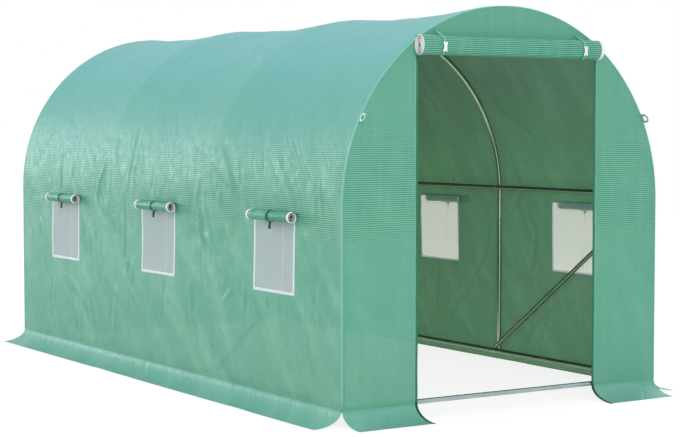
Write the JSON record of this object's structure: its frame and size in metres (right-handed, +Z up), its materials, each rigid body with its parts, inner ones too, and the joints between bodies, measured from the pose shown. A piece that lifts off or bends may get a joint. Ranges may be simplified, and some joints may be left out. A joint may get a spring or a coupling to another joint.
{
  "type": "polytunnel greenhouse",
  "caption": "Walk-in polytunnel: green film over bent steel hoops, door rolled up over an open doorway, netted side windows with rolled covers, and a flared ground skirt.",
  "frame": {"origin": "on the ground under the middle of the tunnel", "axes": "+Y from the door end to the plain end, +X to the right of a person who faces the door, +Z up"},
  "size_m": [2.31, 4.31, 2.045],
  "materials": {
    "film": "green net-reinforced polyethylene film, satin",
    "steel": "galvanised tube",
    "net": "fine pale insect net",
    "white_tape": "white woven tape",
    "tie_tape": "dark green tape",
    "white_plastic": "moulded",
    "eyelet_metal": "pressed"
  },
  "bodies": {
    "root": {"hoop_legs": "steel", "front_arch": "steel", "second_arch": "steel", "third_arch": "steel", "back_arch": "steel", "ridge_rail": "steel", "left_side_rail": "steel", "right_side_rail": "steel", "left_base_rail": "steel", "right_base_rail": "steel", "front_sill_bar": "steel", "back_sill_bar": "steel", "side_braces": "steel", "left_wall_front_bay": "film", "left_wall_middle_bay": "film", "left_wall_back_bay": "film", "right_wall_front_bay": "film", "right_wall_middle_bay": "film", "right_wall_back_bay": "film", "roof_front_bay": "film", "roof_middle_bay": "film", "roof_back_bay": "film", "front_wall_left": "film", "front_wall_right": "film", "front_wall_top": "film", "back_wall": "film", "left_skirt": "film", "right_skirt": "film", "front_skirts": "film", "back_skirt": "film", "left_window_meshes": "net", "right_window_meshes": "net", "left_window_borders": "white_tape", "right_window_borders": "white_tape", "left_window_rolls": "film", "right_window_rolls": "film", "window_roll_hems": "white_tape", "window_ties": "tie_tape", "door_roll": "film", "door_roll_hems": "white_tape", "door_ties": "tie_tape", "door_tie_clips": "white_plastic", "door_jamb_hems": "tie_tape", "guy_tabs": "film", "guy_eyelets": "eyelet_metal"}
  },
  "joints": []
}
